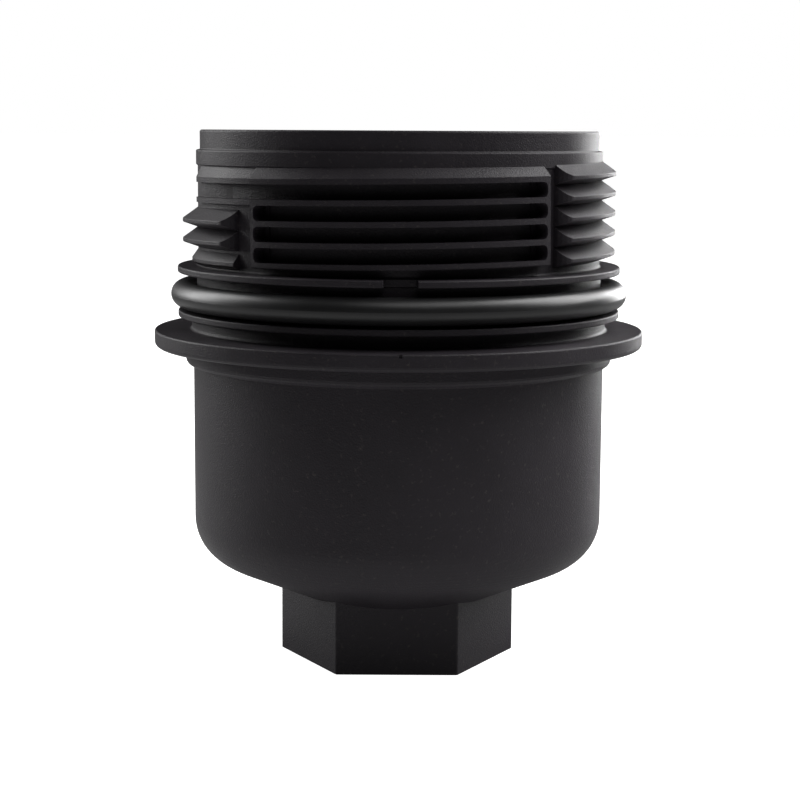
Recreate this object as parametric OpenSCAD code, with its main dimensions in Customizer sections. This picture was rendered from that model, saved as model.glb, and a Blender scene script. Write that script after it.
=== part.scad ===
// Cartridge oil filter: a screw-on plastic housing cap that stands on its hexagon, open end up,
// with the bypass valve on its inner stem and the paper filter element dropped in over the stem.

/* [Cap] */
// Height from the foot of the hexagon to the rim
total_h = 82.25; // [81.5:0.25:83]
// Outer radius of the cup
cup_r = 32; // [31.7:0.1:32.2]
// Inner radius of the cavity
bore_r = 28.6; // [28.2:0.1:29]
// Wall thickness of the cup's floor
floor_t = 3; // [2.5:0.1:3.5]
// Rounding of the cup's lower corner
corner_r = 7.5; // [6:0.5:8]
// Slope of the cup's underside, in degrees
dome_slope = 23.5; // [20:0.5:25]
// Height where the underside's slope and the cup's wall would meet
dome_z = 17.2; // [16.5:0.1:17.5]

/* [Rim and grooves] */
// Radius of the pilot rim above the thread
rim_r = 30.8; // [30.4:0.1:31]
// Height of the pilot rim
rim_h = 3; // [2.5:0.1:3.5]
// Radius of the band under the rim
band_r = 31.4; // [31.3:0.1:31.5]
// Height of the band
band_h = 2.2; // [2:0.1:2.5]
// Radius of the wall between the threads
neck_r = 31.15; // [31:0.05:31.2]
// Outer radius of the ring above the O-ring
upper_ring_r = 34.35; // [34:0.05:34.5]
// Outer radius of the ring below the O-ring
lower_ring_r = 34.3; // [33.9:0.05:34.5]
// Thickness of both rings
ring_t = 1; // [0.8:0.1:1.2]
// Top of the ring above the O-ring
upper_ring_z = 61.55; // [61.2:0.05:61.8]
// Height of the O-ring groove
groove_h = 5.8; // [5.4:0.1:6]
// Radius of the groove's floor
groove_r = 31.4; // [31:0.05:31.5]
// Thickness of the O-ring's section
o_ring_d = 4; // [3.9:0.05:4]
// Height of the O-ring's centre
o_ring_z = 57.2; // [56.8:0.05:58]

/* [Flange and hexagon] */
// Outer radius of the flange
flange_r = 38; // [37:0.1:38.5]
// Top of the flange
flange_z = 51.7; // [51.5:0.1:52]
// Thickness of the flange
flange_t = 2.6; // [2.2:0.1:2.8]
// Radius of the collar under the flange
collar_r = 33.2; // [32.8:0.1:33.6]
// Width of the hexagon across its flats
hex_af = 32; // [30:1:34]

/* [Thread] */
// Height gained in one turn
pitch = 3; // [2.5:0.1:3]
// Radius of the thread's crest
crest_r = 33.5; // [33:0.05:33.6]
// Height of the middle ridge where it crosses the +X side
thread_z = 70; // [69.75:0.05:70.25]
// Turns between the two rib panels, on the +X side
ridge_count = 5; // [3:1:5]
// Half the angle that a rib panel covers
panel_half = 41; // [35:1:43]
// Radius of the ribs' outer faces
panel_r = 32.8; // [32.2:0.1:33]
// Thickness of a rib
rib_t = 0.8; // [0.6:0.1:1]
// Radius of the pockets' floors
pocket_r = 30.3; // [30:0.1:31]

/* [Stem and bypass valve] */
// Outer radius of the stem that carries the element
stem_r = 9; // [8.5:0.1:9]
// Height of the stem's top
stem_top = 30; // [29:0.5:31]
// Bore of the valve's seat
seat_r = 5.4; // [4.5:0.1:5.5]
// Height of the cage above the stem
cage_h = 16; // [15:0.5:18]
// Radius of the poppet's disc
poppet_r = 7.3; // [6.8:0.1:7.4]
// Radius of the poppet's guide stem
guide_r = 1.5; // [1.2:0.1:1.8]
// Turns of the valve spring
spring_turns = 6; // [4:1:8]

/* [Filter element] */
// Outer radius of the element's end caps
element_r = 26.5; // [25.5:0.1:26.8]
// Height of the element's underside
element_z = 20; // [19.5:0.1:20.5]
// Height of the element between the outer faces of its end caps
element_h = 52; // [45:1:54]
// Number of paper folds
pleats = 42; // [36:1:44]
// Inner radius of the perforated core tube
core_r = 12; // [11.5:0.1:12.5]
// Bore of the upper grommet, which takes the engine's standpipe
standpipe_r = 10; // [9:0.1:10.5]

/* [Hidden] */

shell_black = [0.06, 0.06, 0.065];
rubber_black = [0.035, 0.035, 0.04];
$fn = 96;

// Heights on the cap, from the rim down
band_top = total_h - rim_h;
band_low = band_top - band_h;
groove_top = upper_ring_z - ring_t;
groove_low = groove_top - groove_h;
lower_ring_z = groove_low - ring_t;
flange_low = flange_z - flange_t;
root_r = 32.2;
collar_h = 2.8;
floor_r = 12;
dome_rise = tan(dome_slope);
dome_low = dome_z - (cup_r - floor_r) * dome_rise;
floor_lift = floor_t / cos(dome_slope);
floor_z = dome_low + floor_lift;

// Thread ridge: distances above and below the middle of its crest
ridge_up = 1.95;
ridge_down = 1.1;
land_up = 0.25;
land_down = 0.3;
tilt = atan(pitch / (2 * PI * crest_r));
side_start = -44.2;
side_end = 41.8;
taper = 3.6;
missing_left = 2;
worn_crest_r = 32.1;
ledge_r = 31.9;
ledge_rise = 2.6;
ledge_end = 33;
channel_end = 31;
panel_turn = 0.5;
bar_angle = 1;
pocket_corner = 0.8;
end_lap = 2;
end_step = 0.15;
notch_half = 4.15;
notch_r = 31.6;
nick_r = 0.3;
nick_h = 0.5;
in_wall = 0.6;
channel_r = 30.1;

// Hexagon: hollow below, with three ribs across the hollow
hex_top = floor_z - 0.2;
core_hole_r = 11;
core_hole_h = 7.5;
cross_rib_t = 2.4;

// Stem, cage and poppet
stem_bore_r = 7.6;
shoulder_r = 11;
shoulder_z = 18.4;
window_z = 12.7;
window_h = 4.2;
window_w = 4.5;
spigot_h = 4;
seat_t = 1.5;
cage_r = stem_r - 0.1;
leg_in_r = 7.9;
bridge_t = 1.5;
cage_low = stem_top;
seat_z = cage_low + seat_t;
cage_top = cage_low + cage_h;
seal_t = 0.9;
seal_gap = 0.02;
disc_z = seat_z + seal_gap + seal_t;
disc_t = 1.4;
guide_clear = 0.05;
guide_over = 1.2;
guide_tip = 0.4;
hub_r = 3.2;
nose_r = 2.4;
nose_h = 2;
washer_t = 0.5;
wire_r = 0.4;
spring_r = 3.6;
end_turn = 0.85;
spring_low = disc_z + disc_t;
spring_high = cage_top - bridge_t - washer_t;

// Element
end_t = 1.6;
lip_h = 3;
lip_t = 0.9;
core_t = 1.2;
media_low = element_z + end_t;
media_high = element_z + element_h - end_t;
paper_t = 0.5;
fold_in_r = core_r + core_t + 0.2;
fold_out_r = element_r - lip_t - 0.5;
fold_half = 1;
valley_half = 0.35;
clip_t = 0.25;
lower_hole_r = 12;
upper_hole_r = 13;

// One rounded vertex: points of the arc of radius v[2] that blends the corner at v between a and b
function corner(a, v, b, n = 5) =
    let (p = [v[0], v[1]],
         u = ([a[0], a[1]] - p) / norm([a[0], a[1]] - p),
         w = ([b[0], b[1]] - p) / norm([b[0], b[1]] - p),
         half = acos(u * w) / 2,
         mid = (u + w) / norm(u + w),
         c = p + mid * v[2] / sin(half),
         s = p + u * v[2] / tan(half) - c,
         turn = (u[0] * w[1] - u[1] * w[0] > 0 ? -1 : 1) * (180 - 2 * half))
    [for (i = [0 : n]) let (t = turn * i / n)
        c + [s[0] * cos(t) - s[1] * sin(t), s[0] * sin(t) + s[1] * cos(t)]];

// Outline through [x, y, radius] vertices; a radius of 0 keeps the corner sharp
function rounded(v) = [for (i = [0 : len(v) - 1])
    let (a = v[(i + len(v) - 1) % len(v)], b = v[(i + 1) % len(v)])
    each (v[i][2] == 0 ? [[v[i][0], v[i][1]]] : corner(a, v[i], b, v[i][2] > 3 ? 12 : 4))];

function polar(r, a) = [r * cos(a), r * sin(a)];

// Part of a ring between two angles, from an [r, z] outline
module ring_arc(from, to, outline) {
    rotate([0, 0, from]) rotate_extrude(angle = to - from) polygon(outline);
}

// Puts an arc on the helix: centred at an angle, at the helix's height and slope there
module on_helix(centre, turn) {
    rotate([0, 0, centre])
        translate([0, 0, thread_z + pitch * (turn + centre / 360)])
            rotate([tilt, 0, 0]) children();
}

module ridge(centre, from, to, turn, top_r = crest_r) {
    depth = crest_r - neck_r;
    on_helix(centre, turn)
        ring_arc(from, to, rounded([
            [neck_r - in_wall, ridge_up + in_wall * (ridge_up - land_up) / depth, 0],
            [top_r, land_up, 0.15],
            [top_r, -land_down, 0.15],
            [neck_r - in_wall, -ridge_down - in_wall * (ridge_down - land_down) / depth, 0]]));
}

// Block on the helix whose pockets leave five ribs and two end bars
module panel(centre) {
    top = 2 * pitch + rib_t / 2;
    low = -2 * pitch - rib_t / 2;
    on_helix(centre, 0)
        ring_arc(-panel_half, panel_half, rounded([
            [neck_r - in_wall, low, 0],
            [panel_r, low, 0.2],
            [panel_r, top, 0.2],
            [neck_r - in_wall, top + panel_r - neck_r + in_wall, 0]]));
}

module pockets(centre) {
    out = crest_r + 1;
    h = pitch - rib_t;
    reach = panel_half - bar_angle;
    for (turn = [-2 : 1]) on_helix(centre, turn + 0.5) {
        ring_arc(end_lap - reach, reach - end_lap,
            [[pocket_r, -h / 2], [out, -h / 2], [out, h / 2], [pocket_r, h / 2]]);
        for (end = [-1, 1])
            rotate([0, 0, end * reach]) translate([pocket_r + end_step, 0, 0])
                rotate([90, 0, 90]) linear_extrude(out - pocket_r) polygon(rounded([
                    [-3 * end, -h / 2, 0], [0, -h / 2, pocket_corner],
                    [0, h / 2, pocket_corner], [-3 * end, h / 2, 0]]));
    }
}

// Vertical cut that rounds a ridge's end off, from a radial wall at its root to its crest
module run_out(root_angle, way) {
    far = crest_r + 1;
    steps = 5;
    translate([0, 0, groove_top - 1])
        linear_extrude(total_h - groove_top) polygon([
            polar(neck_r, root_angle - way * 2),
            for (i = [0 : steps]) let (t = i / steps)
                polar(neck_r + (crest_r + 0.05 - neck_r) * sin(90 * t),
                      root_angle + way * taper * (1 - cos(90 * t))),
            polar(far, root_angle + way * taper), polar(far, root_angle - way * 2)]);
}

module side_ridges(centre, top_turn) {
    low_turn = top_turn - ridge_count + 1;
    difference() {
        for (turn = [low_turn : top_turn])
            if (centre == 0)
                ridge(centre, side_start, side_end, turn);
            else if (turn <= top_turn - missing_left)
                ridge(centre, side_start, side_end, turn, turn == low_turn ? worn_crest_r : crest_r);
        rotate([0, 0, centre]) {
            run_out(side_start, 1);
            run_out(side_end, -1);
        }
    }
}

// Two low ledges that carry the panel's top ribs on, where the far side has no ridges; the upper
// one is chamfered as the panel is
module ledges() {
    for (turn = [1, 2]) on_helix(panel_turn - 90, turn)
        ring_arc(-panel_half - ledge_end, 1 - panel_half, [
            [neck_r - in_wall, -rib_t / 2], [ledge_r, -rib_t / 2], [ledge_r, rib_t / 2],
            [neck_r - in_wall, rib_t / 2 + (turn - 1) * ledge_rise]]);
}

// Channel between the two ledges, which opens into the panel's top pocket and runs out to the wall
module ledge_channel() {
    h = pitch - rib_t;
    start_r = neck_r + 0.2;
    first = -panel_half - channel_end;
    last = 2 * end_lap - panel_half;
    steps = 12;
    on_helix(panel_turn - 90, 1.5) translate([0, 0, -h / 2]) linear_extrude(h) polygon([
        for (i = [0 : steps]) let (t = i / steps)
            polar(start_r - (start_r - channel_r) * min(1, 2 * t), first + (last - first) * t),
        for (i = [steps : -1 : 0]) polar(crest_r + 1, first + (last - first) * i / steps)]);
}

// Section of the moulding, from the floor's middle round the outside and back down the bore
module shell_section() {
    polygon(rounded([
        [0, dome_low, 0], [floor_r, dome_low, 0], [cup_r, dome_z, corner_r],
        [cup_r, flange_low - collar_h, 0.2], [collar_r, flange_low - collar_h, 0.9],
        [collar_r, flange_low, 0.5], [flange_r, flange_low, 0.75], [flange_r, flange_z, 0.3],
        [root_r, flange_z, 0.5], [root_r, lower_ring_z, 0.25], [lower_ring_r, lower_ring_z, 0.2],
        [lower_ring_r, groove_low, 0.2], [groove_r, groove_low, 0.3], [groove_r, groove_top, 0.3],
        [upper_ring_r, groove_top, 0.2], [upper_ring_r, upper_ring_z, 0.25],
        [neck_r, upper_ring_z, 0.4], [neck_r, band_low - (band_r - neck_r), 0], [band_r, band_low, 0],
        [band_r, band_top, 0.25], [rim_r, band_top, 0.2], [rim_r, total_h, 0.35],
        [bore_r, total_h, 0.5], [bore_r, dome_z - (cup_r - bore_r) * dome_rise + floor_lift, 4.5],
        [floor_r, floor_z, 1], [0, floor_z, 0]]));
}

module stem_section() {
    polygon(rounded([
        [stem_bore_r, floor_z - 1, 0], [shoulder_r, floor_z - 1, 0], [shoulder_r, shoulder_z, 0.4],
        [stem_r, shoulder_z, 0.3], [stem_r, stem_top, 0.3], [stem_bore_r, stem_top, 0]]));
}

module hexagon() {
    corner_out = hex_af / 2 / cos(30);
    linear_extrude(hex_top)
        polygon(rounded([for (i = [0 : 5]) [each polar(corner_out, 60 * i), 0.5]]));
}

module hex_hollow() {
    difference() {
        translate([0, 0, -1]) cylinder(r = core_hole_r, h = core_hole_h + 1);
        for (i = [0 : 2]) rotate([0, 0, 60 * i + 30])
            translate([-core_hole_r - 1, -cross_rib_t / 2, -2])
                cube([2 * core_hole_r + 2, cross_rib_t, core_hole_h + 4]);
    }
}

module cap_shell() {
    color(shell_black) difference() {
        union() {
            rotate_extrude() shell_section();
            difference() {
                rotate_extrude() stem_section();
                for (i = [0 : 1]) rotate([0, 0, 90 * i])
                    translate([-shoulder_r - 1, -window_w / 2, window_z])
                        cube([2 * shoulder_r + 2, window_w, window_h]);
            }
            hexagon();
            panel(panel_turn - 90);
            panel(panel_turn + 90);
            side_ridges(0, 2);
            side_ridges(180, 1);
            ledges();
        }
        pockets(panel_turn - 90);
        pockets(panel_turn + 90);
        ledge_channel();
        ring_arc(panel_turn - 90 - notch_half, panel_turn - 90 + notch_half, [
            [notch_r, groove_top - 0.1], [upper_ring_r + 1, groove_top - 0.1],
            [upper_ring_r + 1, upper_ring_z + 0.1], [notch_r, upper_ring_z + 0.1]]);
        rotate([0, 0, panel_turn - 90]) translate([flange_r, 0, flange_z - nick_h])
            cylinder(r = nick_r, h = nick_h + 1, $fn = 12);
        hex_hollow();
    }
}

module main_o_ring() {
    color(rubber_black) rotate_extrude()
        translate([groove_r + o_ring_d / 2, o_ring_z]) circle(d = o_ring_d);
}

// Snap-in cage: spigot in the stem, seat, four legs and a bridge with the guide hole
module valve_cage() {
    color([0.75, 0.72, 0.64]) difference() {
        rotate_extrude() polygon([
            [seat_r, cage_low - spigot_h], [stem_bore_r, cage_low - spigot_h], [stem_bore_r, cage_low],
            [cage_r, cage_low], [cage_r, cage_top], [guide_r + guide_clear, cage_top],
            [guide_r + guide_clear, cage_top - bridge_t], [leg_in_r, cage_top - bridge_t],
            [leg_in_r, seat_z], [seat_r, seat_z]]);
        for (i = [0 : 1]) rotate([0, 0, 90 * i])
            translate([-cage_r - 1, -cage_r / 2, seat_z + 1])
                cube([2 * cage_r + 2, cage_r, cage_h - seat_t - bridge_t - 2]);
    }
}

module valve_poppet() {
    color([0.72, 0.73, 0.75]) rotate_extrude() polygon([
        [0, seat_z - nose_h], [nose_r, seat_z - nose_h], [hub_r, seat_z - nose_h / 2],
        [hub_r, disc_z], [poppet_r, disc_z], [poppet_r, disc_z + disc_t],
        [guide_r, disc_z + disc_t], [guide_r, cage_top + guide_over - guide_tip],
        [guide_r - guide_tip, cage_top + guide_over], [0, cage_top + guide_over]]);
}

module valve_seal() {
    color(rubber_black) rotate_extrude() polygon([
        [hub_r, seat_z + seal_gap], [poppet_r, seat_z + seal_gap], [poppet_r, disc_z],
        [hub_r, disc_z]]);
}

// Helical wire swept as rings of points; the first and last turns nearly touch their neighbours
module valve_spring() {
    steps = 20;
    sides = 8;
    n = spring_turns * steps;
    low = spring_low + wire_r;
    high = spring_high - wire_r;
    function height(t) =
        t < 1 ? low + end_turn * t
        : t > spring_turns - 1 ? high - end_turn * (spring_turns - t)
        : low + end_turn + (high - low - 2 * end_turn) * (t - 1) / (spring_turns - 2);
    points = [for (i = [0 : n], j = [0 : sides - 1])
        let (t = i / steps, a = 360 * t, b = 360 * j / sides, r = spring_r + wire_r * cos(b))
        [r * cos(a), r * sin(a), height(t) + wire_r * sin(b)]];
    faces = concat(
        [[for (j = [0 : sides - 1]) j]],
        [[for (j = [sides - 1 : -1 : 0]) n * sides + j]],
        [for (i = [0 : n - 1], j = [0 : sides - 1])
            let (k = (j + 1) % sides)
            [i * sides + j, (i + 1) * sides + j, (i + 1) * sides + k, i * sides + k]]);
    color([0.7, 0.7, 0.72]) polyhedron(points, faces, convexity = 10);
}

module washer(in_r, out_r, low, high) {
    rotate_extrude() polygon([[in_r, low], [out_r, low], [out_r, high], [in_r, high]]);
}

module spring_seat() {
    color([0.78, 0.74, 0.6])
        washer(guide_r + guide_tip, spring_r + 3 * wire_r, spring_high, spring_high + washer_t);
}

// End cap: a disc with a lip over the paper's edge; way is 1 for a lip that points up
module end_cap(face_z, way, hole_r) {
    rotate_extrude() polygon(rounded([
        [hole_r, face_z, 0.2], [element_r, face_z, 0.5], [element_r, face_z + way * lip_h, 0.3],
        [element_r - lip_t, face_z + way * lip_h, 0], [element_r - lip_t, face_z + way * end_t, 0],
        [hole_r, face_z + way * end_t, 0]]));
}

module lower_end_cap() { color([0.2, 0.21, 0.22]) end_cap(element_z, 1, lower_hole_r); }

module upper_end_cap() { color([0.2, 0.21, 0.22]) end_cap(element_z + element_h, -1, upper_hole_r); }

module pleated_media() {
    step = 360 / pleats;
    function turn(mm, r) = mm / r * 180 / PI;
    outside = [for (i = [0 : pleats - 1]) let (a = step * i) each [
        polar(fold_out_r, a - turn(fold_half, fold_out_r)),
        polar(fold_out_r, a + turn(fold_half, fold_out_r)),
        polar(fold_in_r + paper_t, a + step / 2 - turn(valley_half, fold_in_r)),
        polar(fold_in_r + paper_t, a + step / 2 + turn(valley_half, fold_in_r))]];
    inside = [for (i = [0 : pleats - 1]) let (a = step * i) each [
        polar(fold_out_r - paper_t, a - turn(fold_half - paper_t, fold_out_r)),
        polar(fold_out_r - paper_t, a + turn(fold_half - paper_t, fold_out_r)),
        polar(fold_in_r, a + step / 2 - turn(valley_half + paper_t, fold_in_r)),
        polar(fold_in_r, a + step / 2 + turn(valley_half + paper_t, fold_in_r))]];
    color([0.86, 0.8, 0.62]) translate([0, 0, media_low]) linear_extrude(media_high - media_low)
        difference() {
            polygon(outside);
            polygon(inside);
        }
}

module core_tube() {
    rows = 7;
    gap = (media_high - media_low) / rows;
    color([0.3, 0.31, 0.33]) difference() {
        washer(core_r, core_r + core_t, media_low, media_high);
        for (row = [0 : rows - 1], col = [0 : 3])
            translate([0, 0, media_low + gap * (row + 0.5)])
                rotate([0, 0, 45 * col + (row % 2) * 22.5]) rotate([0, 90, 0])
                    translate([0, 0, -core_r - core_t - 1])
                        cylinder(r = 1.6, h = 2 * (core_r + core_t + 1), $fn = 24);
    }
}

module seam_clip() {
    half = fold_half + 0.02;
    depth = 4;
    out = fold_out_r + 0.02 + clip_t;
    h = media_high - media_low - 0.2;
    color([0.7, 0.71, 0.72]) translate([0, 0, media_low + 0.1]) linear_extrude(h)
        difference() {
            translate([out - depth, -half - clip_t]) square([depth, 2 * (half + clip_t)]);
            translate([out - depth - 1, -half]) square([depth + 1 - clip_t, 2 * half]);
        }
}

module lower_grommet() {
    bore = stem_r + 0.05;
    color(rubber_black) rotate_extrude() polygon(rounded([
        [bore, element_z - 1.3, 0.3], [lower_hole_r + 1.5, element_z - 1.3, 0.4],
        [lower_hole_r + 1.5, element_z, 0], [lower_hole_r, element_z, 0],
        [lower_hole_r, media_low, 0], [core_r - 0.1, media_low, 0], [core_r - 0.1, media_low + 1.4, 0.4],
        [bore, media_low + 1.4, 0.3]]));
}

module upper_grommet() {
    top = element_z + element_h;
    color(rubber_black) rotate_extrude() polygon(rounded([
        [standpipe_r, media_high - 1.5, 0], [core_r - 0.1, media_high - 1.5, 0.4],
        [core_r - 0.1, media_high, 0], [upper_hole_r, media_high, 0], [upper_hole_r, top, 0],
        [upper_hole_r + 1.5, top, 0], [upper_hole_r + 1.5, top + 1.2, 0.4], [standpipe_r, top + 1.2, 0]]));
}

cap_shell();
main_o_ring();
valve_cage();
valve_poppet();
valve_seal();
valve_spring();
spring_seat();
lower_end_cap();
upper_end_cap();
pleated_media();
core_tube();
seam_clip();
lower_grommet();
upper_grommet();
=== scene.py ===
from math import radians
import bpy
from mathutils import Matrix, Vector


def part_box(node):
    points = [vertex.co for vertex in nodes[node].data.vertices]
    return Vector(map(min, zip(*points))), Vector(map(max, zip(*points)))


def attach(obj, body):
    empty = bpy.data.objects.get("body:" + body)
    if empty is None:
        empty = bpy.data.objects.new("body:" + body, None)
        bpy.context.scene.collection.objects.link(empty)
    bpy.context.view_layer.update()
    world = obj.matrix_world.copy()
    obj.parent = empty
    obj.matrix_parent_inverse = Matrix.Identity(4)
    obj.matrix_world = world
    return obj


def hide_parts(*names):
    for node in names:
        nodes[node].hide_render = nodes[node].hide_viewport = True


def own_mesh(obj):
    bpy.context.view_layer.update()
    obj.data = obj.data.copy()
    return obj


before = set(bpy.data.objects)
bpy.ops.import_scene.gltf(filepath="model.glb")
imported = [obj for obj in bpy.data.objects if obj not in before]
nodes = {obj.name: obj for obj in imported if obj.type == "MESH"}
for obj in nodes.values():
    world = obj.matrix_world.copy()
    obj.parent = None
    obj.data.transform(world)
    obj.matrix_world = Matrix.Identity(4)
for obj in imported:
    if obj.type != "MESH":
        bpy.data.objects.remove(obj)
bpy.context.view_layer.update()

# Camera. It stands in front of the filter, level with the rim, and looks slightly down through a
# lens long enough to keep the cup's sides nearly parallel.
camera_data = bpy.data.cameras.new("camera")
camera_data.sensor_width = 36
camera_data.lens = 86.4
camera_data.clip_start = 0.01
camera = bpy.data.objects.new("camera", camera_data)
bpy.context.scene.collection.objects.link(camera)
rim_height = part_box("cap_shell")[1].z
camera_spot = Vector((0.0003, -0.3002, rim_height))
look_down = radians(7.99)
roll = radians(0.32)
camera.matrix_world = (Matrix.Translation(camera_spot) @ Matrix.Rotation(radians(90) - look_down, 4, "X")
                       @ Matrix.Rotation(roll, 4, "Z"))
bpy.context.scene.camera = camera
bpy.context.scene.view_settings.view_transform = "Standard"

# Floor. A wide pale table that the hexagon stands on. It is seen white, and only the part near the
# filter throws light back up under the cup and the flange.
def table_material():
    """White where it is seen. Light it throws back changes with the distance from the filter."""
    bounce_reach = 0.45
    under_hexagon, under_flange, beside, far_off = (0.05, 0.2), (0.09, 0.66), (0.16, 0.8), (1, 0.05)
    material = bpy.data.materials.new("pale_table")
    material.use_nodes = True
    tree = material.node_tree
    surface = tree.nodes["Principled BSDF"]
    surface.inputs["Base Color"].default_value = (0.5, 0.5, 0.5, 1)
    surface.inputs["Roughness"].default_value = 0.9
    surface.inputs["Specular IOR Level"].default_value = 0
    surface.inputs["Emission Color"].default_value = (1, 1, 1, 1)
    surface.inputs["Emission Strength"].default_value = 1.05
    place = tree.nodes.new("ShaderNodeTexCoord")
    reach = tree.nodes.new("ShaderNodeVectorMath")
    reach.operation = "LENGTH"
    share = tree.nodes.new("ShaderNodeMath")
    share.operation = "DIVIDE"
    share.inputs[1].default_value = bounce_reach
    fade = tree.nodes.new("ShaderNodeValToRGB")
    stops = fade.color_ramp.elements
    for stop, (position, strength) in zip(stops, (under_hexagon, far_off)):
        stop.position = position
        stop.color = (strength, strength, strength, 1)
    for position, strength in (under_flange, beside):
        stops.new(position).color = (strength, strength, strength, 1)
    bounce = tree.nodes.new("ShaderNodeEmission")
    ray = tree.nodes.new("ShaderNodeLightPath")
    either = tree.nodes.new("ShaderNodeMixShader")
    tree.links.new(place.outputs["Object"], reach.inputs[0])
    tree.links.new(reach.outputs["Value"], share.inputs[0])
    tree.links.new(share.outputs["Value"], fade.inputs["Fac"])
    tree.links.new(fade.outputs["Color"], bounce.inputs["Color"])
    tree.links.new(ray.outputs["Is Camera Ray"], either.inputs["Fac"])
    tree.links.new(bounce.outputs["Emission"], either.inputs[1])
    tree.links.new(surface.outputs["BSDF"], either.inputs[2])
    tree.links.new(either.outputs["Shader"], tree.nodes["Material Output"].inputs["Surface"])
    return material


bpy.ops.object.select_all(action="DESELECT")
bpy.ops.mesh.primitive_plane_add(size=60, location=(0, 0, 0))
floor = bpy.context.object
floor.name = "table"
floor.data.materials.append(table_material())

# Studio light. A white room that gives little light itself, and soft panels above the filter at
# the left, at the right and in front, the right one strongest. A small low panel behind it at the
# right lights the cup's edge.
filter_middle = Vector((0, 0, 0.045))
room = bpy.data.worlds.new("pale_room")
room.use_nodes = True
room_nodes = room.node_tree.nodes
room_links = room.node_tree.links
glow = room_nodes["Background"]
glow.inputs["Color"].default_value = (1, 1, 1, 1)
glow.inputs["Strength"].default_value = 0.012
backdrop = room_nodes.new("ShaderNodeBackground")
backdrop.inputs["Color"].default_value = (1, 1, 1, 1)
backdrop.inputs["Strength"].default_value = 1.0
ray = room_nodes.new("ShaderNodeLightPath")
either = room_nodes.new("ShaderNodeMixShader")
room_links.new(ray.outputs["Is Camera Ray"], either.inputs["Fac"])
room_links.new(glow.outputs["Background"], either.inputs[1])
room_links.new(backdrop.outputs["Background"], either.inputs[2])
room_links.new(either.outputs["Shader"], room_nodes["World Output"].inputs["Surface"])
bpy.context.scene.world = room


def soft_panel(name, spot, width, height, watts):
    """A rectangular soft light at spot, turned to the middle of the filter."""
    panel = bpy.data.lights.new(name, "AREA")
    panel.shape = "RECTANGLE"
    panel.size = width
    panel.size_y = height
    panel.energy = watts
    lamp = bpy.data.objects.new(name, panel)
    lamp.location = spot
    lamp.rotation_euler = (filter_middle - Vector(spot)).to_track_quat("-Z", "Y").to_euler()
    lamp.visible_camera = False
    bpy.context.scene.collection.objects.link(lamp)


soft_panel("left_panel", (-0.55, 0.30, 0.33), 0.35, 0.5, 4.0)
soft_panel("right_panel", (0.53, 0.19, 0.50), 0.6, 0.6, 7.8)
soft_panel("edge_panel", (0.40, 0.58, 0.16), 0.2, 0.3, 3.0)
soft_panel("front_panel", (0.20, -0.28, 0.68), 0.7, 0.4, 1.9)


# Cap moulding. Black glass-filled nylon from a finely eroded mould, matt, with a little paler dust
# that clings in the grain. It is one moulding with its thread, rib panels, flange and hexagon.
def moulded_grain_group():
    """Height of the grain, and masks of the mottling and of the dust."""
    group = bpy.data.node_groups.new("moulded_grain", "ShaderNodeTree")
    group.interface.new_socket("Place", in_out="INPUT", socket_type="NodeSocketVector")
    for name in ("Grain Scale", "Mottle Scale", "Dust Scale", "Dust Amount"):
        group.interface.new_socket(name, in_out="INPUT", socket_type="NodeSocketFloat")
    for name in ("Height", "Mottle", "Dust"):
        group.interface.new_socket(name, in_out="OUTPUT", socket_type="NodeSocketFloat")
    start = group.nodes.new("NodeGroupInput")
    end = group.nodes.new("NodeGroupOutput")
    grain = group.nodes.new("ShaderNodeTexNoise")
    grain.inputs["Detail"].default_value = 3
    mottle = group.nodes.new("ShaderNodeTexNoise")
    mottle.inputs["Detail"].default_value = 4
    mottle.inputs["Roughness"].default_value = 0.65
    dust = group.nodes.new("ShaderNodeTexNoise")
    dust.inputs["Detail"].default_value = 2
    specks = group.nodes.new("ShaderNodeMapRange")
    specks.inputs["From Min"].default_value = 0.62
    specks.inputs["From Max"].default_value = 0.8
    amount = group.nodes.new("ShaderNodeMath")
    amount.operation = "MULTIPLY"
    link = group.links.new
    for texture, scale in ((grain, "Grain Scale"), (mottle, "Mottle Scale"), (dust, "Dust Scale")):
        link(start.outputs["Place"], texture.inputs["Vector"])
        link(start.outputs[scale], texture.inputs["Scale"])
    link(dust.outputs["Fac"], specks.inputs["Value"])
    link(specks.outputs["Result"], amount.inputs[0])
    link(start.outputs["Dust Amount"], amount.inputs[1])
    link(grain.outputs["Fac"], end.inputs["Height"])
    link(mottle.outputs["Fac"], end.inputs["Mottle"])
    link(amount.outputs["Value"], end.inputs["Dust"])
    return group


moulded_grain = moulded_grain_group()


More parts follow.
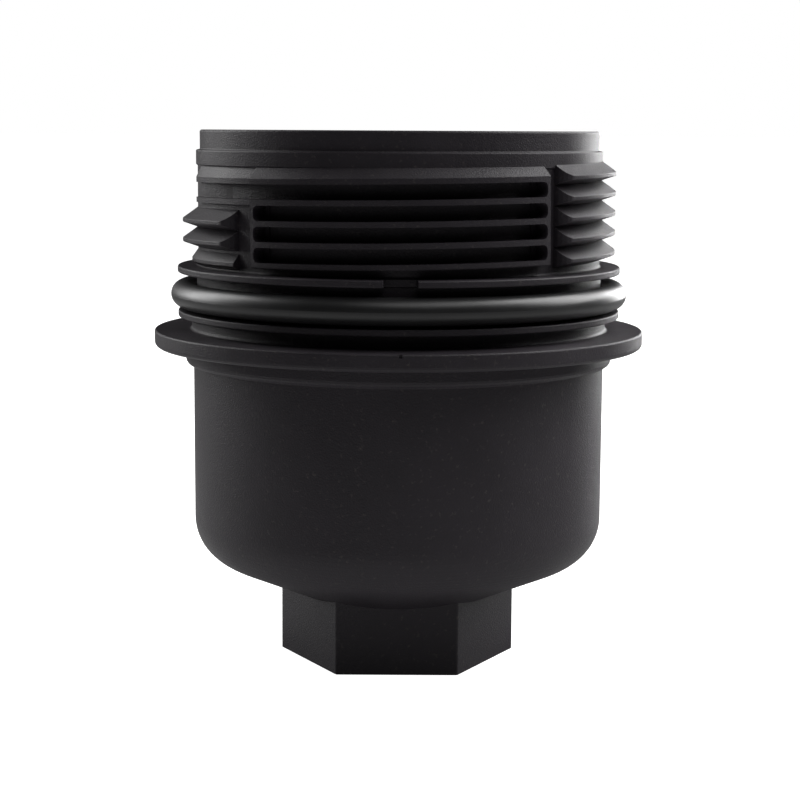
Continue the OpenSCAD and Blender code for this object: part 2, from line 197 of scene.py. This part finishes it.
def moulded_material(name, dark, pale, dusty, rough, grain_scale=2500, mottle_scale=90,
                     dust_scale=900, dust_amount=0.3, grain_height=0.00002, shine=0.5):
    """Plastic or rubber: dark to pale mottling, dust on top, and a fine moulded grain."""
    material = bpy.data.materials.new(name)
    material.use_nodes = True
    tree = material.node_tree
    shader = tree.nodes["Principled BSDF"]
    shader.inputs["Specular IOR Level"].default_value = shine
    place = tree.nodes.new("ShaderNodeTexCoord")
    grain = tree.nodes.new("ShaderNodeGroup")
    grain.node_tree = moulded_grain
    grain.inputs["Grain Scale"].default_value = grain_scale
    grain.inputs["Mottle Scale"].default_value = mottle_scale
    grain.inputs["Dust Scale"].default_value = dust_scale
    grain.inputs["Dust Amount"].default_value = dust_amount
    body = tree.nodes.new("ShaderNodeMix")
    body.data_type = "RGBA"
    body.inputs["A"].default_value = (*dark, 1)
    body.inputs["B"].default_value = (*pale, 1)
    top = tree.nodes.new("ShaderNodeMix")
    top.data_type = "RGBA"
    top.inputs["B"].default_value = (*dusty, 1)
    gloss = tree.nodes.new("ShaderNodeMapRange")
    gloss.inputs["From Min"].default_value = 0.3
    gloss.inputs["From Max"].default_value = 0.7
    gloss.inputs["To Min"].default_value = rough - 0.05
    gloss.inputs["To Max"].default_value = rough + 0.05
    bump = tree.nodes.new("ShaderNodeBump")
    bump.inputs["Strength"].default_value = 0.6
    bump.inputs["Distance"].default_value = grain_height
    link = tree.links.new
    link(place.outputs["Object"], grain.inputs["Place"])
    link(grain.outputs["Mottle"], body.inputs["Factor"])
    link(body.outputs["Result"], top.inputs["A"])
    link(grain.outputs["Dust"], top.inputs["Factor"])
    link(top.outputs["Result"], shader.inputs["Base Color"])
    link(grain.outputs["Mottle"], gloss.inputs["Value"])
    link(gloss.outputs["Result"], shader.inputs["Roughness"])
    link(grain.outputs["Height"], bump.inputs["Height"])
    link(bump.outputs["Normal"], shader.inputs["Normal"])
    return material


def finish_node(name, material):
    """Gives a CAD node its material."""
    nodes[name].data.materials.clear()
    nodes[name].data.materials.append(material)


finish_node("cap_shell", moulded_material("shell_nylon", (0.0135, 0.0113, 0.0141), (0.0309, 0.0263, 0.0323),
                                          (0.08, 0.07, 0.066), 0.52, grain_scale=4200, dust_scale=1600,
                                          dust_amount=0.45, grain_height=0.00012, shine=0.25))

# Main O-ring. One black rubber ring, smoother than the cap, that sits loosely in the groove under
# the upper ring and seals the cap to its housing.
finish_node("main_o_ring", moulded_material("ring_rubber", (0.0095, 0.0095, 0.01), (0.013, 0.013, 0.0135),
                                            (0.03, 0.03, 0.03), 0.4, grain_scale=1200, mottle_scale=60,
                                            dust_amount=0.12, grain_height=0.00001, shine=0.5))

# Valve cage. Natural, cream-coloured nylon: a spigot pressed into the stem, with the valve's seat,
# four legs and the bridge that guides the poppet.
finish_node("valve_cage", moulded_material("cage_nylon", (0.52, 0.47, 0.36), (0.62, 0.57, 0.45),
                                           (0.4, 0.34, 0.24), 0.42, mottle_scale=160, dust_amount=0.35))


# Valve poppet. A turned steel disc with its guide stem, which shows the lathe's fine rings, and a
# rubber washer bonded under the disc.
def drawn_metal_group():
    """Masks of the tool's fine lines and of the stain."""
    group = bpy.data.node_groups.new("drawn_metal", "ShaderNodeTree")
    group.interface.new_socket("Place", in_out="INPUT", socket_type="NodeSocketVector")
    line_scale = group.interface.new_socket("Line Scale", in_out="INPUT", socket_type="NodeSocketFloat")
    line_scale.default_value = 4000
    for name in ("Lines", "Stain"):
        group.interface.new_socket(name, in_out="OUTPUT", socket_type="NodeSocketFloat")
    start = group.nodes.new("NodeGroupInput")
    end = group.nodes.new("NodeGroupOutput")
    lines = group.nodes.new("ShaderNodeTexNoise")
    lines.inputs["Detail"].default_value = 2
    stain = group.nodes.new("ShaderNodeTexNoise")
    stain.inputs["Scale"].default_value = 220
    stain.inputs["Detail"].default_value = 5
    link = group.links.new
    link(start.outputs["Place"], lines.inputs["Vector"])
    link(start.outputs["Line Scale"], lines.inputs["Scale"])
    link(start.outputs["Place"], stain.inputs["Vector"])
    link(lines.outputs["Fac"], end.inputs["Lines"])
    link(stain.outputs["Fac"], end.inputs["Stain"])
    return group


drawn_metal = drawn_metal_group()


def metal_material(name, clean, stained, rough, stretch, turned=False):
    """Steel with fine lines: rings about the axis if turned, or straight, drawn out by stretch."""
    material = bpy.data.materials.new(name)
    material.use_nodes = True
    tree = material.node_tree
    shader = tree.nodes["Principled BSDF"]
    shader.inputs["Metallic"].default_value = 1
    link = tree.links.new
    place = tree.nodes.new("ShaderNodeTexCoord")
    drawn = tree.nodes.new("ShaderNodeVectorMath")
    drawn.operation = "MULTIPLY"
    drawn.inputs[1].default_value = stretch
    if turned:
        apart = tree.nodes.new("ShaderNodeSeparateXYZ")
        across = tree.nodes.new("ShaderNodeCombineXYZ")
        radius = tree.nodes.new("ShaderNodeVectorMath")
        radius.operation = "LENGTH"
        rings = tree.nodes.new("ShaderNodeCombineXYZ")
        link(place.outputs["Object"], apart.inputs["Vector"])
        link(apart.outputs["X"], across.inputs["X"])
        link(apart.outputs["Y"], across.inputs["Y"])
        link(across.outputs["Vector"], radius.inputs[0])
        link(radius.outputs["Value"], rings.inputs["X"])
        link(apart.outputs["Z"], rings.inputs["Z"])
        link(rings.outputs["Vector"], drawn.inputs[0])
    else:
        link(place.outputs["Object"], drawn.inputs[0])
    metal = tree.nodes.new("ShaderNodeGroup")
    metal.node_tree = drawn_metal
    link(drawn.outputs["Vector"], metal.inputs["Place"])
    tint = tree.nodes.new("ShaderNodeMix")
    tint.data_type = "RGBA"
    tint.inputs["A"].default_value = (*clean, 1)
    tint.inputs["B"].default_value = (*stained, 1)
    gloss = tree.nodes.new("ShaderNodeMapRange")
    gloss.inputs["To Min"].default_value = rough - 0.1
    gloss.inputs["To Max"].default_value = rough + 0.12
    bump = tree.nodes.new("ShaderNodeBump")
    bump.inputs["Strength"].default_value = 0.35
    bump.inputs["Distance"].default_value = 0.00001
    link(metal.outputs["Stain"], tint.inputs["Factor"])
    link(tint.outputs["Result"], shader.inputs["Base Color"])
    link(metal.outputs["Lines"], gloss.inputs["Value"])
    link(gloss.outputs["Result"], shader.inputs["Roughness"])
    link(metal.outputs["Lines"], bump.inputs["Height"])
    link(bump.outputs["Normal"], shader.inputs["Normal"])
    return material


finish_node("valve_poppet", metal_material("turned_steel", (0.62, 0.62, 0.63), (0.5, 0.48, 0.45), 0.32,
                                           (1, 1, 1), turned=True))
finish_node("valve_seal", moulded_material("seal_rubber", (0.016, 0.014, 0.013), (0.024, 0.021, 0.02),
                                           (0.05, 0.045, 0.04), 0.55, dust_amount=0.2))

# Valve spring. Round steel wire, coiled with closed ends, between the poppet's disc and the washer
# under the bridge.
def solid_copy(name, piece_name):
    """A joined-up copy of a CAD node, with its place in its mesh."""
    same_point = 0.000002
    node = nodes[name]
    piece = bpy.data.objects.new(piece_name, node.data.copy())
    bpy.context.scene.collection.objects.link(piece)
    piece.data.transform(node.matrix_world)
    piece.data.materials.clear()
    bpy.ops.object.select_all(action="DESELECT")
    piece.select_set(True)
    bpy.context.view_layer.objects.active = piece
    bpy.ops.object.mode_set(mode="EDIT")
    bpy.ops.mesh.select_all(action="SELECT")
    bpy.ops.mesh.remove_doubles(threshold=same_point)
    bpy.ops.mesh.normals_make_consistent(inside=False)
    bpy.ops.object.mode_set(mode="OBJECT")
    return piece


spring = solid_copy("valve_spring", "spring_wire")
round_wire = spring.modifiers.new("round_wire", "SUBSURF")
round_wire.levels = 1
round_wire.render_levels = 1
bpy.ops.object.modifier_apply(modifier="round_wire")
bpy.ops.object.shade_smooth()
spring.data.materials.append(metal_material("spring_wire_steel", (0.5, 0.5, 0.51), (0.34, 0.33, 0.33), 0.28,
                                            (1, 1, 0.2)))
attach(spring, "cap")
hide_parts("valve_spring")
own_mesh(spring)

# Spring seat. A thin washer, zinc plated with a yellow tinge, between the spring and the bridge.
finish_node("spring_seat", metal_material("plated_washer", (0.6, 0.56, 0.42), (0.48, 0.42, 0.3), 0.38,
                                          (1, 1, 1), turned=True))

# End caps of the element. Dark grey glass-filled nylon discs, whose lips hold the paper's edges.
end_cap_nylon = moulded_material("end_cap_nylon", (0.032, 0.034, 0.037), (0.045, 0.047, 0.05),
                                 (0.09, 0.09, 0.09), 0.45, mottle_scale=120, dust_amount=0.3)
finish_node("lower_end_cap", end_cap_nylon)
finish_node("upper_end_cap", end_cap_nylon)


# Filter paper. One strip of cream resin-treated paper, folded to and fro in 42 pleats with rounded
# folds. Its ends are bonded into the end caps.
def paper_material():
    """Long fibres under uneven resin, in cream and tan."""
    material = bpy.data.materials.new("pleated_paper")
    material.use_nodes = True
    tree = material.node_tree
    shader = tree.nodes["Principled BSDF"]
    shader.inputs["Specular IOR Level"].default_value = 0.25
    link = tree.links.new
    place = tree.nodes.new("ShaderNodeTexCoord")
    fibres = tree.nodes.new("ShaderNodeTexNoise")
    fibres.inputs["Scale"].default_value = 1800
    fibres.inputs["Detail"].default_value = 6
    fibres.inputs["Roughness"].default_value = 0.7
    resin = tree.nodes.new("ShaderNodeTexNoise")
    resin.inputs["Scale"].default_value = 140
    resin.inputs["Detail"].default_value = 3
    blend = tree.nodes.new("ShaderNodeMix")
    blend.data_type = "FLOAT"
    blend.inputs["Factor"].default_value = 0.45
    colours = tree.nodes.new("ShaderNodeValToRGB")
    colours.color_ramp.elements[0].position = 0.35
    colours.color_ramp.elements[0].color = (0.52, 0.4, 0.22, 1)
    colours.color_ramp.elements[1].position = 0.65
    colours.color_ramp.elements[1].color = (0.76, 0.66, 0.45, 1)
    rough = tree.nodes.new("ShaderNodeMapRange")
    rough.inputs["To Min"].default_value = 0.72
    rough.inputs["To Max"].default_value = 0.95
    bump = tree.nodes.new("ShaderNodeBump")
    bump.inputs["Strength"].default_value = 0.5
    bump.inputs["Distance"].default_value = 0.00005
    link(place.outputs["Object"], fibres.inputs["Vector"])
    link(place.outputs["Object"], resin.inputs["Vector"])
    link(fibres.outputs["Fac"], blend.inputs["A"])
    link(resin.outputs["Fac"], blend.inputs["B"])
    link(blend.outputs["Result"], colours.inputs["Fac"])
    link(colours.outputs["Color"], shader.inputs["Base Color"])
    link(fibres.outputs["Fac"], rough.inputs["Value"])
    link(rough.outputs["Result"], shader.inputs["Roughness"])
    link(fibres.outputs["Fac"], bump.inputs["Height"])
    link(bump.outputs["Normal"], shader.inputs["Normal"])
    return material


paper = solid_copy("pleated_media", "paper_pleats")
fold_round = 0.0003
fold_least_height = 0.01
fold_most_slant = 0.00001
bpy.ops.object.mode_set(mode="EDIT")
bpy.ops.mesh.select_mode(type="EDGE")
bpy.ops.mesh.select_all(action="DESELECT")
bpy.ops.object.mode_set(mode="OBJECT")
for edge in paper.data.edges:
    low, high = (paper.data.vertices[i].co for i in edge.vertices)
    upright = (low.xy - high.xy).length < fold_most_slant
    edge.select = upright and abs(low.z - high.z) > fold_least_height
bpy.ops.object.mode_set(mode="EDIT")
bpy.ops.mesh.bevel(offset=fold_round, segments=3, affect="EDGES", clamp_overlap=True)
bpy.ops.object.mode_set(mode="OBJECT")
bpy.ops.object.shade_smooth_by_angle(angle=radians(40))
paper.data.materials.append(paper_material())
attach(paper, "element")
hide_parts("pleated_media")

# Core tube. A perforated tube of dark nylon that keeps the paper from collapsing inwards.
finish_node("core_tube", moulded_material("core_nylon", (0.05, 0.052, 0.056), (0.068, 0.07, 0.074),
                                          (0.12, 0.12, 0.12), 0.42, mottle_scale=150, dust_amount=0.25))

# Seam clip. A folded strip of tinned steel that pinches the strip's two ends together.
finish_node("seam_clip", metal_material("tinned_steel", (0.6, 0.6, 0.6), (0.46, 0.45, 0.43), 0.36,
                                        (1, 1, 0.04)))

# Grommets. Soft rubber rings bonded into the end caps: the lower one grips the cap's stem and the
# upper one the housing's standpipe.
grommet_rubber = moulded_material("grommet_rubber", (0.013, 0.0125, 0.012), (0.02, 0.019, 0.018),
                                  (0.05, 0.046, 0.04), 0.58, mottle_scale=110, dust_amount=0.35)
finish_node("lower_grommet", grommet_rubber)
finish_node("upper_grommet", grommet_rubber)
